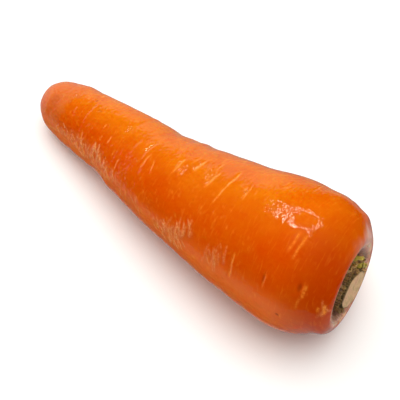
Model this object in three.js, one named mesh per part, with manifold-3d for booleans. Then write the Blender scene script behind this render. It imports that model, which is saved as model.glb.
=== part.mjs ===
// A stout, blunt carrot whose leaves have been trimmed off, lying on its side.
//
// Three things grew together and are three nodes:
//   taproot            the orange root, one solid from its blunt tip to the hollow in its crown
//   stem_stub          the short stem in that hollow, cut across with a knife
//   leaf_stalk_stumps  the ring of leaf bases round the stem, with the stalk and sheaths left on it
//
// Millimetres, +Z up. The root runs along +X, tip first, and the origin is under the middle of the
// whole carrot on the surface it lies on.
import * as THREE from "three";
import { mergeVertices } from "three/addons/utils/BufferGeometryUtils.js";
import Module from "manifold-3d";

const wasm = await Module();
wasm.setup();

// ---- driving dimensions ----

// Half outline of the root: [distance from the tip, radius], from the tip to the floor of the crown's hollow.
const OUTLINE = [
  [-0.3, 0], [0.1, 3.5], [1.4, 6.6], [3.9, 9.5], [8, 12.1], [14, 13.6], [22, 14.9], [35, 16.0],
  [52, 18.0], [70, 20.6], [88, 22.8], [105, 25.4], [119, 27.7], [131, 29.8], [141, 31.0], [149, 31.4],
  [156, 30.5], [162, 28.2], [167, 25.2], [170.4, 22.0], [171.6, 18.6], [170.6, 16.2], [168, 14.6],
  [165.2, 13.4], [163.4, 11], [163, 5.5], [163, 0],
];
const RINGS = 98;
const SIDES = 46;

// How the middle of the root wanders sideways: [distance from the tip, sideways].
const BEND = [[4, 0], [46, -0.9], [88, -4.2], [130, -2.2], [172, 0]];
// The root lies on its cheek under the shoulder and on its underside near the tip.
const REST_NEAR_TIP = { at: 24, radius: 15.1 };
const REST_AT_SHOULDER = { at: 138, radius: 30.7 };
const FLATTENED = 0.45; // depth of the two flat spots that it rests on

// The face at the crown isn't square to the root: one side of it stands out further.
const LEAN = { degrees: 7.2, towards: 176, from: 154, to: 171, reach: 19 };

// Off-round lumps of the whole root: [waves round, waves along per 100 mm, phase in degrees, height].
// They are level on the two lines along the root that stand LEVEL_LINE degrees round and opposite.
const LEVEL_LINE = 25;
const LUMPS = [[2, 0.8, 40, 0.45], [3, 1.5, 200, 0.3], [1, 2.4, 75, 0.25], [5, 1.1, 310, 0.15]];

// Dents that show in the outline: [from tip, round at degrees, half width along, half length round,
// depth]. A negative depth is a swelling.
const DENTS = [
  [18, 25, 4, 9, -0.4], [55, 25, 4, 10, -0.3], [70, 27, 4.5, 12, 0.7], [85, 27, 3.5, 12, -0.6],
  [96, 27, 6, 12, -0.4], [121, 27, 9, 16, 1.0], [147, 27, 5, 14, 0.6], [167, 22, 5, 14, -1.6],
  [31, 201, 3.5, 9, -0.6], [46, 201, 4.5, 10, 1.6], [57, 201, 3.5, 10, -0.7], [115, 200, 8, 14, -0.5],
  [138, 200, 4, 12, 0.35], [146, 200, 5, 12, -0.6], [167, 203, 5, 13, 1.6], [24, 110, 5, 9, 0.35],
  [88, 150, 7, 16, 0.45], [104, 80, 8, 14, 0.35], [76, 300, 7, 18, 0.5], [126, 320, 9, 20, 0.4],
];

// Short creases across the root, where the skin has cracked and corked over. They are drawn by
// chance along the whole root: every value is [least, most].
const CREASES = {
  seed: 7, count: 110, from: 10, to: 158,
  halfWidth: [0.8, 1.2], halfLength: [2.5, 7.5], depth: [0.14, 0.42],
};
// Pits of side roots with the raised lip on their crownward side: [from tip, degrees, size, depth].
const PITS = [
  [146, 172, 2.4, 0.9], [132, 196, 1.6, 0.6], [44, 62, 1.5, 0.45], [96, 118, 1.6, 0.4],
  [70, 250, 1.8, 0.6], [110, 285, 2.0, 0.7], [128, 20, 1.8, 0.6], [38, 300, 1.5, 0.5],
  [84, 10, 1.6, 0.5], [151, 330, 2.0, 0.7],
];

// The relief fades in between two radii at the tip and out between two distances at the rim.
const RELIEF_FADES = { tipFrom: 2, tipTo: 9, rimFrom: 164, rimTo: 171 };

// The hollow in the crown, with all that stands in it, is off the root's middle by this much sideways.
// The shift is whole inside one radius and gone outside the other, and starts this far from the tip.
const HOLLOW = { aside: -1.6, inside: 13, outside: 18, from: 160 };
// The trimmed stem and the leaf bases, in the crown's own frame: +X out of the crown, from the rim.
const STEM = { radius: 8.4, foot: -7.6, top: 1.2, edge: 0.5, dish: 0.4, slant: -5 };
const COLLAR = { inner: 9.1, outer: 10.8, foot: -6.8, top: -0.5, ragged: 0.6 };
const STALK = { radius: 2.7, wall: 0.9, reach: 11.1, at: 35, foot: -5.5, top: 1.9 };
// Torn sheaths round the stem: [degrees, half span in degrees, height above the rim, outward tilt].
const SHEATHS = [
  [3, 20, 2.6, 1.5], [-17, 8, 2.9, 2.1], [60, 16, 1.4, 2.6], [86, 17, 0.3, 3.4], [112, 15, -0.3, 1.4],
  [158, 20, -0.4, 0.8], [214, 24, 0.1, 0.9], [284, 26, 0.2, 1.1],
];
const GAP = 0.3; // between solids that touch in nature

// ---- helpers ----

const TAU = 2 * Math.PI;
const radians = (degrees) => THREE.MathUtils.degToRad(degrees);

// A repeatable draw of numbers from 0 to 1.
function drawFrom(seed) {
  let state = seed >>> 0;
  return () => {
    state = (state + 0x6d2b79f5) >>> 0;
    let t = state;
    t = Math.imul(t ^ (t >>> 15), t | 1);
    t ^= t + Math.imul(t ^ (t >>> 7), t | 61);
    return ((t ^ (t >>> 14)) >>> 0) / 4294967296;
  };
}

// Angle from a to b, from -pi to pi.
const turn = (a, b) => Math.atan2(Math.sin(b - a), Math.cos(b - a));

// A bell from 1 in the middle to 0 well outside.
const bell = (x, halfWidth) => Math.exp(-((x / halfWidth) ** 2));

const spline = (pairs) => new THREE.SplineCurve(pairs.map(([a, b]) => new THREE.Vector2(a, b)));

// Height of a spline of [x, y] pairs, evenly spaced in x, at one x.
function along(pairs, x) {
  const span = pairs[pairs.length - 1][0] - pairs[0][0];
  const share = THREE.MathUtils.clamp((x - pairs[0][0]) / span, 0, 1);
  return spline(pairs).getPoint(share).y;
}

// ---- the root's surface ----

const restSlope =
  (REST_AT_SHOULDER.radius - REST_NEAR_TIP.radius) / (REST_AT_SHOULDER.at - REST_NEAR_TIP.at);
const axisHeight = (at) => REST_NEAR_TIP.radius + restSlope * (at - REST_NEAR_TIP.at) - FLATTENED;

// The root's own frame at a distance from the tip: its middle, its direction, its side and its upside.
function frameAt(at) {
  const step = 0.5;
  const middle = new THREE.Vector3(at, along(BEND, at), axisHeight(at));
  const sideways = (along(BEND, at + step) - along(BEND, at - step)) / (2 * step);
  const forward = new THREE.Vector3(1, sideways, restSlope).normalize();
  const side = new THREE.Vector3(0, 0, 1).cross(forward).normalize();
  const upside = forward.clone().cross(side);
  return { middle, forward, side, upside };
}

function drawCreases() {
  const draw = drawFrom(CREASES.seed);
  const pick = ([least, most]) => least + (most - least) * draw();
  return Array.from({ length: CREASES.count }, () => ({
    at: pick([CREASES.from, CREASES.to]),
    angle: TAU * draw(),
    halfWidth: pick(CREASES.halfWidth),
    halfLength: pick(CREASES.halfLength),
    depth: pick(CREASES.depth),
  }));
}
const creases = drawCreases();

// How far the skin stands out of the plain outline at a place on the root.
function relief(at, angle, radius) {
  let height = 0;
  for (const [round, per100, phase, tall] of LUMPS)
    height += tall * Math.sin(round * (angle - radians(LEVEL_LINE)))
      * Math.sin((TAU * per100 * at) / 100 + radians(phase));
  for (const [from, degrees, halfWidth, halfLength, depth] of DENTS) {
    const round = turn(radians(degrees), angle) * radius;
    height -= depth * bell(at - from, halfWidth) * bell(round, halfLength);
  }
  for (const c of creases) {
    const across = at - c.at;
    if (Math.abs(across) > 3 * c.halfWidth) continue;
    height -= c.depth * bell(across, c.halfWidth) * bell(turn(c.angle, angle) * radius, c.halfLength);
  }
  for (const [from, degrees, size, depth] of PITS) {
    const round = turn(radians(degrees), angle) * radius;
    height -= depth * bell(at - from, size) * bell(round, size * 1.3);
    height += 0.5 * depth * bell(at - from - 1.5 * size, size) * bell(round, size * 2);
  }
  return height;
}

// A place on the root from its distance along, its radius and its angle from the +Y side upwards.
function onRoot(at, radius, angle) {
  const { tipFrom, tipTo, rimFrom, rimTo } = RELIEF_FADES;
  const pastTip = THREE.MathUtils.smoothstep(radius, tipFrom, tipTo);
  const shortOfRim = 1 - THREE.MathUtils.smoothstep(at, rimFrom, rimTo);
  const raised = radius + relief(at, angle, Math.max(radius, tipFrom)) * pastTip * shortOfRim;
  const leaning = THREE.MathUtils.smoothstep(at, LEAN.from, LEAN.to);
  const arm = Math.min(radius, LEAN.reach) * Math.cos(angle - radians(LEAN.towards));
  const out = Math.tan(radians(LEAN.degrees)) * arm;
  const outside = THREE.MathUtils.smoothstep(radius, HOLLOW.inside, HOLLOW.outside);
  const hollow = at > HOLLOW.from ? 1 - outside : 0;
  const { middle, forward, side, upside } = frameAt(at);
  return middle
    .addScaledVector(forward, out * leaning)
    .addScaledVector(side, raised * Math.cos(angle) + HOLLOW.aside * hollow)
    .addScaledVector(upside, raised * Math.sin(angle));
}

// ---- parts ----

function makeTaproot() {
  const lathe = new THREE.LatheGeometry(
    spline(OUTLINE).getSpacedPoints(RINGS).map((p) => new THREE.Vector2(Math.max(p.y, 0), p.x)),
    SIDES,
  );
  const place = lathe.getAttribute("position");
  for (let i = 0; i < place.count; i++) {
    const radius = Math.hypot(place.getX(i), place.getZ(i));
    const angle = Math.atan2(place.getX(i), place.getZ(i));
    const p = onRoot(place.getY(i), radius, angle);
    place.setXYZ(i, p.x, p.y, Math.max(p.z, 0));
  }
  return closed(lathe);
}

// The geometry with its seam welded and nothing left but places, facing out.
function closed(geometry) {
  geometry.deleteAttribute("normal");
  geometry.deleteAttribute("uv");
  const welded = mergeVertices(geometry, 1e-3);
  const index = welded.getIndex();
  const p = welded.getAttribute("position");
  const [a, b, c] = [new THREE.Vector3(), new THREE.Vector3(), new THREE.Vector3()];
  const kept = [];
  let volume = 0;
  for (let i = 0; i < index.count; i += 3) {
    const corners = [index.getX(i), index.getX(i + 1), index.getX(i + 2)];
    if (new Set(corners).size < 3) continue;
    kept.push(...corners);
    volume += a.fromBufferAttribute(p, corners[0])
      .dot(b.fromBufferAttribute(p, corners[1]).cross(c.fromBufferAttribute(p, corners[2])));
  }
  if (volume < 0) kept.reverse();
  welded.setIndex(kept);
  return welded;
}

function solidOf(geometry) {
  const g = closed(geometry);
  const vertProperties = new Float32Array(g.getAttribute("position").array);
  return new wasm.Manifold(
    new wasm.Mesh({ numProp: 3, vertProperties, triVerts: new Uint32Array(g.getIndex().array) }),
  );
}

function geometryOf(solid) {
  const { vertProperties, triVerts } = solid.getMesh();
  return new THREE.BufferGeometry()
    .setAttribute("position", new THREE.BufferAttribute(vertProperties, 3))
    .setIndex(new THREE.BufferAttribute(triVerts, 1));
}

// A closed lathe about +X from [along, radius] pairs, its skin moved by shape(along, radius, angle).
function turned(pairs, sides, shape) {
  const lathe = new THREE.LatheGeometry(pairs.map(([x, r]) => new THREE.Vector2(r, x)), sides);
  const place = lathe.getAttribute("position");
  for (let i = 0; i < place.count; i++) {
    const radius = Math.hypot(place.getX(i), place.getZ(i));
    const angle = Math.atan2(place.getX(i), place.getZ(i));
    const [x, r] = shape(place.getY(i), radius, angle);
    place.setXYZ(i, x, r * Math.cos(angle), r * Math.sin(angle));
  }
  return lathe;
}

// The stem and the ring of leaf bases round it have the same slight lobes.
const lobesOf = (angle) => 1 + 0.03 * Math.sin(3 * angle + 0.6) + 0.018 * Math.sin(5 * angle + 2);

// The stem: a lobed plug whose cut face is slightly dished and not quite square.
function makeStem() {
  const { radius, foot, top, edge, dish, slant } = STEM;
  const pairs = [
    [foot, 0], [foot, radius * 0.5], [foot, radius - 0.8], [foot + 0.8, radius], [foot + 4, radius],
    [top - edge, radius], [top - edge * 0.3, radius - edge * 0.3], [top, radius - edge],
    [top - dish * 0.35, radius * 0.76], [top - dish * 0.1, radius * 0.62], [top - dish * 0.7, radius * 0.42],
    [top - dish, radius * 0.2], [top - dish, 0],
  ];
  return turned(pairs, 40, (x, r, angle) => {
    const cut = THREE.MathUtils.smoothstep(x, foot + 4, top - edge);
    const rise = cut * Math.tan(radians(slant)) * r * Math.cos(angle - radians(LEAN.towards));
    return [x + rise, r * lobesOf(angle)];
  });
}

// The ring of leaf bases: a low wall with a ragged top edge.
function makeCollar() {
  const { inner, outer, foot, top, ragged } = COLLAR;
  const mid = (inner + outer) / 2;
  const pairs = [
    [foot, inner], [foot, outer], [(foot + top) / 2, outer + 0.3], [top - 0.4, outer - 0.1],
    [top, mid], [top - 0.5, inner], [(foot + top) / 2, inner], [foot, inner],
  ];
  return turned(pairs, 48, (x, r, angle) => {
    const coarse = 0.5 * Math.sin(5 * angle + 1) + 0.3 * Math.sin(11 * angle + 2.2);
    const torn = coarse + 0.2 * Math.sin(17 * angle);
    const upper = THREE.MathUtils.smoothstep(x, foot, top);
    return [x + ragged * torn * upper, Math.max(r * lobesOf(angle), inner + 0.05)];
  });
}

// A leaf stalk's base: a gutter-shaped stump, open towards the stem.
function makeStalk() {
  const { radius, wall, reach, at, foot, top } = STALK;
  const gutter = new THREE.Shape();
  const open = radians(38);
  gutter.absarc(0, 0, radius, Math.PI + open, Math.PI - open + TAU, false);
  gutter.absarc(0.35, 0, radius - wall, Math.PI - open * 1.5, Math.PI + open * 1.5, true);
  gutter.closePath();
  const curve = new THREE.CatmullRomCurve3([
    new THREE.Vector3(foot, reach, 0),
    new THREE.Vector3((foot + top) / 2, reach + 0.1, 0),
    new THREE.Vector3(top, reach + 0.9, 0),
  ]);
  return loft(curve, gutter.getPoints(9), 6, radians(at));
}

// A flat outline carried along a curve that lies in the plane of +X and the outward direction, and
// then turned round the stem by an angle.
function loft(curve, outline, steps, angle) {
  const shape = new THREE.Shape(outline);
  const geometry = new THREE.ExtrudeGeometry(shape, { depth: 1, steps, bevelEnabled: false });
  const place = geometry.getAttribute("position");
  for (let i = 0; i < place.count; i++) {
    const share = place.getZ(i);
    const middle = curve.getPoint(share);
    const tangent = curve.getTangent(share);
    const outward = new THREE.Vector3(-tangent.y, tangent.x, 0);
    const p = middle.clone().addScaledVector(outward, place.getX(i));
    p.z += place.getY(i);
    place.setXYZ(i, p.x, p.y, p.z);
  }
  return geometry.applyMatrix4(new THREE.Matrix4().makeRotationX(angle));
}

// A torn sheath: a thin upright blade that follows the ring and narrows to a ragged tip.
function makeSheath([degrees, span, height, tilt]) {
  const across = 8;
  const up = 5;
  const thick = 1.0;
  const mid = (COLLAR.inner + COLLAR.outer) / 2;
  const foot = COLLAR.foot + 2;
  const slab = new THREE.BoxGeometry(1, 1, 1, up, across, 1);
  const place = slab.getAttribute("position");
  for (let i = 0; i < place.count; i++) {
    const rise = place.getX(i) + 0.5;
    const over = place.getY(i) * 2;
    const narrow = 1 - 0.55 * rise ** 2;
    const peak = 1 - 0.35 * over ** 2;
    const angle = radians(degrees) + radians(span) * over * narrow;
    const r = mid + tilt * rise ** 2 + thick * place.getZ(i) * (1 - 0.35 * rise);
    place.setXYZ(i, foot + (height - foot) * rise * peak, r * Math.cos(angle), r * Math.sin(angle));
  }
  return slab;
}

function makeStumps() {
  let solid = solidOf(makeCollar()).add(solidOf(makeStalk()));
  for (const sheath of SHEATHS) solid = solid.add(solidOf(makeSheath(sheath)));
  const clear = STEM.radius + GAP;
  const tall = 20;
  const bore = solidOf(turned(
    [[-tall, 0], [-tall, clear], [tall, clear], [tall, 0]],
    48,
    (x, r, angle) => [x, r * lobesOf(angle)],
  ));
  return geometryOf(solid.subtract(bore));
}

// ---- assembly ----

const SKIN = new THREE.MeshStandardMaterial({ color: 0xe8650c, roughness: 0.38, metalness: 0 });
const HEART = new THREE.MeshStandardMaterial({ color: 0xb59a6c, roughness: 0.75, metalness: 0 });
const STALK_GREEN = new THREE.MeshStandardMaterial({ color: 0x6f5c1e, roughness: 0.65, metalness: 0 });

function named(name, geometry, material) {
  const mesh = new THREE.Mesh(geometry, material);
  mesh.name = name;
  return mesh;
}

const taproot = named("taproot", makeTaproot(), SKIN);

// The crown's own frame stands at the rim and leans as the rim does.
const { middle, forward, side, upside } = frameAt(OUTLINE[20][0]);
const leant = new THREE.Vector3().copy(side).multiplyScalar(Math.cos(radians(LEAN.towards)))
  .addScaledVector(upside, Math.sin(radians(LEAN.towards)));
const leaning = new THREE.Quaternion().setFromAxisAngle(
  new THREE.Vector3().copy(leant).cross(forward), radians(LEAN.degrees),
);
const crown = new THREE.Group();
crown.position.copy(middle).addScaledVector(side, HOLLOW.aside);
crown.quaternion.setFromRotationMatrix(new THREE.Matrix4().makeBasis(forward, side, upside))
  .premultiply(leaning);
crown.add(named("stem_stub", closed(makeStem()), HEART));
crown.add(named("leaf_stalk_stumps", makeStumps(), STALK_GREEN));

const carrot = new THREE.Group();
carrot.add(taproot, crown);
const box = new THREE.Box3().setFromObject(carrot, true);
const centre = box.getCenter(new THREE.Vector3());
carrot.position.set(-centre.x, -centre.y, -box.min.z);

export default carrot;
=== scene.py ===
"""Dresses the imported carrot: its skin, its cut stem, the leaf bases round the stem, and a small studio.

Lengths in the classes are millimetres and angles are degrees, as in the part's own source. Meshes are
made in millimetres and turned to metres when they become an object.
"""

import logging
import math
from collections.abc import Callable
from dataclasses import dataclass
from enum import Enum
from functools import partial
from itertools import starmap
from typing import Any, ClassVar, NamedTuple

import bpy
import numpy as np
from mathutils import Matrix, Vector


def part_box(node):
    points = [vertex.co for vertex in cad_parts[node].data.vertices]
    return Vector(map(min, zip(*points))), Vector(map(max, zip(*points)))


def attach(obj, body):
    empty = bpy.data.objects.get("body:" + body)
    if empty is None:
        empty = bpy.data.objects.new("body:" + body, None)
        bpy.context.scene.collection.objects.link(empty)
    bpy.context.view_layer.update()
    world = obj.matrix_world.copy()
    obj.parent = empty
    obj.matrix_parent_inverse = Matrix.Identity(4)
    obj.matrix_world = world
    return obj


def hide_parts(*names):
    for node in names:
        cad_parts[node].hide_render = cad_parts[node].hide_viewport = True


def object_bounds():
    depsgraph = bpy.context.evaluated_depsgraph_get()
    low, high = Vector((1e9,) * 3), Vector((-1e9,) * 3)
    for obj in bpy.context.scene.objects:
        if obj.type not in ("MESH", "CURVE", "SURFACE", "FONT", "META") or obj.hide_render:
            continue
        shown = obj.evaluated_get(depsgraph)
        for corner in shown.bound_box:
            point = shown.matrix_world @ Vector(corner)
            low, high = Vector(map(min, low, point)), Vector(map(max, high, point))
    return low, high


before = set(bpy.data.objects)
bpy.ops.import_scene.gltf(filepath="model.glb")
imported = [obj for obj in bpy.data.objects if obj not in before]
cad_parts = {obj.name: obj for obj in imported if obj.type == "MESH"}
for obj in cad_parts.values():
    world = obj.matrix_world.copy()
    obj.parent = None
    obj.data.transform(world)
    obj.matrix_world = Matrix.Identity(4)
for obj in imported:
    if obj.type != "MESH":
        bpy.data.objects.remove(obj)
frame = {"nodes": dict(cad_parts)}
CAD_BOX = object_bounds()

MM = 0.001
TAU = 2 * math.pi
BODY = "root"
PLANT_IOR = 1.45
STORED = "GeometryNodeInputNamedAttribute"
EASED = {"interpolation_type": "SMOOTHSTEP"}
COLOURS = {"data_type": "RGBA"}

Array = np.ndarray
Object = bpy.types.Object
Faces = list[tuple[int, ...]]
Triple = tuple[float, float, float]
Pairs = tuple[tuple[float, float], ...]
Triples = tuple[Triple, ...]
Adder = Callable[..., bpy.types.Node]

log = logging.getLogger("carrot")


class Node(Enum):
    """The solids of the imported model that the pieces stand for."""

    TAPROOT = "taproot"
    STEM = "stem_stub"
    STUMPS = "leaf_stalk_stumps"


class Slot(Enum):
    """The record's material slots."""

    SKIN = "carrot_skin"
    STEM = "cut_stem"
    STALK = "leaf_stalk"


# ---- small helpers ----


def linear(code: str) -> tuple[float, float, float, float]:
    """Turns an sRGB hex value into the linear colour that a socket takes.

    Args:
        code: six hex digits.
    Returns:
        Red, green, blue and a full alpha.
    """
    parts = [int(code[i : i + 2], 16) / 255 for i in (0, 2, 4)]
    red, green, blue = (p / 12.92 if p <= 0.04045 else ((p + 0.055) / 1.055) ** 2.4 for p in parts)
    return red, green, blue, 1.0


def add_node(tree: bpy.types.NodeTree, kind: str, inputs: Any = (), **settings: Any) -> bpy.types.Node:
    """Adds one node with its settings and with what feeds its inputs.

    Args:
        tree: the node tree.
        kind: its type name, without a leading ShaderNode; an operation follows after a dot.
        inputs: by name or number, or in order: a value (six hex digits for a colour), a socket, or a
            node whose first output feeds it.
        **settings: its properties; "stops" holds a colour ramp's (place, hex) pairs.
    Returns:
        The new node.
    """
    name, _, operation = kind.partition(".")
    made = tree.nodes.new(name if "Node" in name else "ShaderNode" + name)
    if operation:
        made.operation = operation
    stops = settings.pop("stops", ())
    for setting, value in settings.items():
        setattr(made, setting, value)
    for _ in stops[2:]:
        made.color_ramp.elements.new(0.5)
    for stop, (place, colour) in zip(made.color_ramp.elements if stops else (), stops):
        stop.position, stop.color = place, linear(colour)
    for key, value in inputs.items() if isinstance(inputs, dict) else enumerate(inputs):
        socket = made.inputs[key]
        if isinstance(value, bpy.types.Node):
            value = next(s for s in value.outputs if s.enabled)
        if isinstance(value, bpy.types.NodeSocket):
            tree.links.new(value, socket)
        else:
            socket.default_value = linear(value) if socket.type == "RGBA" else value
    return made


def draws(seed: int, count: int) -> Array:
    """A repeatable row of numbers from 0 to 1, the same ones that the part's source draws.

    Args:
        seed: the start of the row.
        count: how many numbers.
    Returns:
        The numbers.
    """
    whole = 0xFFFFFFFF
    row = np.empty(count)
    state = seed
    for i in range(count):
        state = (state + 0x6D2B79F5) & whole
        t = ((state ^ (state >> 15)) * (state | 1)) & whole
        t ^= (t + (((t ^ (t >> 7)) * (t | 61)) & whole)) & whole
        row[i] = ((t ^ (t >> 14)) & whole) / (whole + 1)
    return row


def smooth(x: Array | float, start: float, end: float) -> Array:
    """A smooth step from 0 at start to 1 at end."""
    t = np.clip((np.asarray(x, float) - start) / (end - start), 0, 1)
    return t * t * (3 - 2 * t)


def bell(x: Array, half_width: Array | float) -> Array:
    """A bell from 1 in the middle to 0 well outside."""
    return np.exp(-((x / half_width) ** 2))


def turn(start: float, end: Array) -> Array:
    """Angle from start to end in radians, from -pi to pi."""
    return np.arctan2(np.sin(end - start), np.cos(end - start))


def plateau(x: Array, rise: tuple[float, float], fall: tuple[float, float]) -> Array:
    """A level stretch of 1 that rises from 0 over one span and falls back over another."""
    return smooth(x, *rise) * (1 - smooth(x, *fall))


def waves(angle: Array, *each: Triple) -> Array:
    """A sum of sines round a circle, each of a height, a count and a phase in radians."""
    return sum(height * np.sin(count * angle + phase) for height, count, phase in each)


def curve_through(points: Array, share: Array) -> Array:
    """A smooth curve through points, at shares from 0 to 1 of their number.

    Args:
        points: one row each.
        share: where on the curve.
    Returns:
        One row for each share.
    """
    last = len(points) - 1
    place = np.clip(share, 0, 1) * last
    start = np.minimum(place.astype(int), last - 1)
    t = (place - start)[..., None]
    a, b, c, d = (points[np.clip(start + k, 0, last)] for k in (-1, 0, 1, 2))
    rise, fall = (c - a) / 2, (d - b) / 2
    return (2 * b - 2 * c + rise + fall) * t**3 + (-3 * b + 3 * c - 2 * rise - fall) * t**2 + rise * t + b


def grid_faces(rows: int, columns: int, closed: bool = False) -> Faces:
    """Quads between rows of vertices, each of which is a closed ring.

    Args:
        rows: number of rings.
        columns: vertices in a ring.
        closed: whether the last ring joins the first.
    Returns:
        The quads.
    """
    i, j = np.meshgrid(np.arange(rows if closed else rows - 1), np.arange(columns), indexing="ij")
    k, n = (j + 1) % columns, (i + 1) % rows
    quads = np.stack([i * columns + j, i * columns + k, n * columns + k, n * columns + j], -1)
    return [tuple(q) for q in quads.reshape(-1, 4).tolist()]


def polar(along: Array, radius: Array, angle: Array) -> Array:
    """Points round the +X axis, from distances along it, radii and angles in radians."""
    return np.stack([along, radius * np.cos(angle), radius * np.sin(angle)], -1)


def capped_tube(rings: Array) -> tuple[Array, Faces]:
    """A closed body from rings of vertices, with a pole at each end.

    Args:
        rings: an array of ring, vertex and coordinate.
    Returns:
        The vertices and the faces.
    """
    rows, columns = rings.shape[:2]
    places = np.vstack([rings.reshape(-1, 3), rings[0].mean(0), rings[-1].mean(0)])
    faces = grid_faces(rows, columns)
    first, last, end = rows * columns, rows * columns + 1, (rows - 1) * columns
    for j in range(columns):
        k = (j + 1) % columns
        faces.append((first, k, j))
        faces.append((last, end + j, end + k))
    return places, faces


def linked(name: str, data: bpy.types.ID) -> Object:
    """Makes an object and links it into the scene.

    Args:
        name: its name.
        data: its mesh or camera.
    Returns:
        The object.
    """
    made = bpy.data.objects.new(name, data)
    bpy.context.scene.collection.objects.link(made)
    return made


def make_object(name: str, places: Array, faces: Faces) -> Object:
    """Makes a smooth object from millimetres, its faces turned outwards.

    Args:
        name: the object's name.
        places: vertices in millimetres.
        faces: their numbers.
    Returns:
        The object, linked into the scene, in metres.
    """
    mesh = bpy.data.meshes.new(name)
    mesh.from_pydata((places * MM).tolist(), [], faces)
    mesh.validate()
    mesh.shade_smooth()
    mesh.calc_loop_triangles()
    corners = np.empty(len(mesh.loop_triangles) * 3, np.int32)
    mesh.loop_triangles.foreach_get("vertices", corners)
    a, b, c = (places[corners.reshape(-1, 3)[:, k]] for k in range(3))
    if np.einsum("ij,ij->i", a, np.cross(b, c)).sum() < 0:
        mesh.flip_normals()
    return linked(name, mesh)


def store(piece: Object, name: str, values: Array) -> None:
    """Keeps a number or a vector for each vertex of a piece, for its material to read.

    Args:
        piece: the object.
        name: the attribute's name.
        values: one number or one row of three for each vertex.
    """
    kind, field = ("FLOAT", "value") if values.ndim == 1 else ("FLOAT_VECTOR", "vector")
    made = piece.data.attributes.new(name, kind, "POINT")
    made.data.foreach_set(field, np.ascontiguousarray(values, np.float32).ravel())


def vertices_of(piece: Object) -> Array:
    """Reads a piece's vertices.

    Args:
        piece: the object.
    Returns:
        Their places in metres, one row each.
    """
    places = np.empty(len(piece.data.vertices) * 3, np.float32)
    piece.data.vertices.foreach_get("co", places)
    return places.reshape(-1, 3)


def hand_over(piece: Object, node: Node) -> None:
    """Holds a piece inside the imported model's box, and says what it rides on and stands for.

    Args:
        piece: the object.
        node: the solid that it replaces.
    """
    low, high = (np.array(corner, np.float32) for corner in CAD_BOX)
    piece.data.vertices.foreach_set("co", np.clip(vertices_of(piece), low, high).ravel())
    piece.data.update()
    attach(piece, BODY)
    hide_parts(node.value)


def grown(base: Object, tree: bpy.types.NodeTree, name: str, inputs: dict[str, Any]) -> Object:
    """Runs a Geometry Nodes tree on an object and keeps the plain mesh that it makes.

    Args:
        base: the object that the tree starts from; it is removed afterwards.
        tree: the tree.
        name: the new object's name.
        inputs: values for the tree's inputs by name.
    Returns:
        The new object.
    """
    modifier = base.modifiers.new(tree.name, "NODES")
    modifier.node_group = tree
    for socket in tree.interface.items_tree:
        if socket.in_out == "INPUT" and socket.name in inputs:
            modifier[socket.identifier] = inputs[socket.name]
    graph = bpy.context.evaluated_depsgraph_get()
    evaluated = base.evaluated_get(graph)
    mesh = bpy.data.meshes.new_from_object(evaluated, preserve_all_data_layers=True, depsgraph=graph)
    mesh.name = name
    base.modifiers.remove(modifier)
    old = base.data
    bpy.data.objects.remove(base)
    bpy.data.meshes.remove(old)
    return linked(name, mesh)


def new_tree(name: str, sizes: dict[str, float]) -> bpy.types.NodeTree:
    """A Geometry Nodes tree with a geometry, named numbers and a material as its inputs.

    Args:
        name: the tree's name.
        sizes: its numbers, and what they start from; a whole one makes a whole-number input.
    Returns:
        The tree, still without nodes.
    """
    tree = bpy.data.node_groups.new(name, "GeometryNodeTree")
    face = tree.interface
    face.new_socket("Geometry", in_out="INPUT", socket_type="NodeSocketGeometry")
    for title, value in sizes.items():
        kind = "NodeSocketInt" if isinstance(value, int) else "NodeSocketFloat"
        face.new_socket(title, in_out="INPUT", socket_type=kind).default_value = value
    face.new_socket("Material", in_out="INPUT", socket_type="NodeSocketMaterial")
    face.new_socket("Geometry", in_out="OUTPUT", socket_type="NodeSocketGeometry")
    return tree


def new_material(name: str) -> tuple[bpy.types.Material, Adder]:
    """Makes an empty node material.

    Args:
        name: its name.
    Returns:
        The material, and add_node for its tree.
    """
    material = bpy.data.materials.new(name)
    material.use_nodes = True
    material.node_tree.nodes.clear()
    return material, partial(add_node, material.node_tree)


# ---- the root's own form ----


class Grid(NamedTuple):
    """Places on the root's plain outline, one ring of them to a row."""

    at: Array  # distances from the tip
    radius: Array
    angle: Array  # in radians, from the +Y side upwards
    inside: Array  # from 0 outside to 1 in the hollow

    def mound(self, place: float, degrees: float, along: float, across: float, tall: float = 1.0) -> Array:
        """A mound that falls off along the root and round it."""
        return tall * bell(self.at - place, along) * bell(self.around(math.radians(degrees)), across)

    def around(self, way: float) -> Array:
        """How far round the root each place is from an angle in radians, in millimetres."""
        return turn(way, self.angle) * self.radius


class Mark(NamedTuple):
    """A corky crack across the skin."""

    at: float  # from the tip, at its start
    start: float  # degrees round
    end: float
    drift: float  # how much further from the tip its end is
    width: float  # half width
    depth: float  # below 0 it stands up
    pale: float  # how much cork or fray shows, from 0 to 1


class Pit(NamedTuple):
    """A dark pit that a side root has left."""

    at: float
    angle: float
    along: float  # half width along the root
    across: float  # half width round it
    depth: float
    dark: float


class Patch(NamedTuple):
    """A rubbed patch where the skin has frayed into short strands."""

    at: float
    angle: float
    along: float
    across: float  # in millimetres round the root
    strands: int
    frayed: float


class Scatter(NamedTuple):
    """Short flecks and cracks strewn by chance over part of the skin."""

    seed: int
    count: int
    at_from: float
    at_to: float
    angle_from: float
    angle_to: float
    longest: float  # degrees
    palest: float


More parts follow.
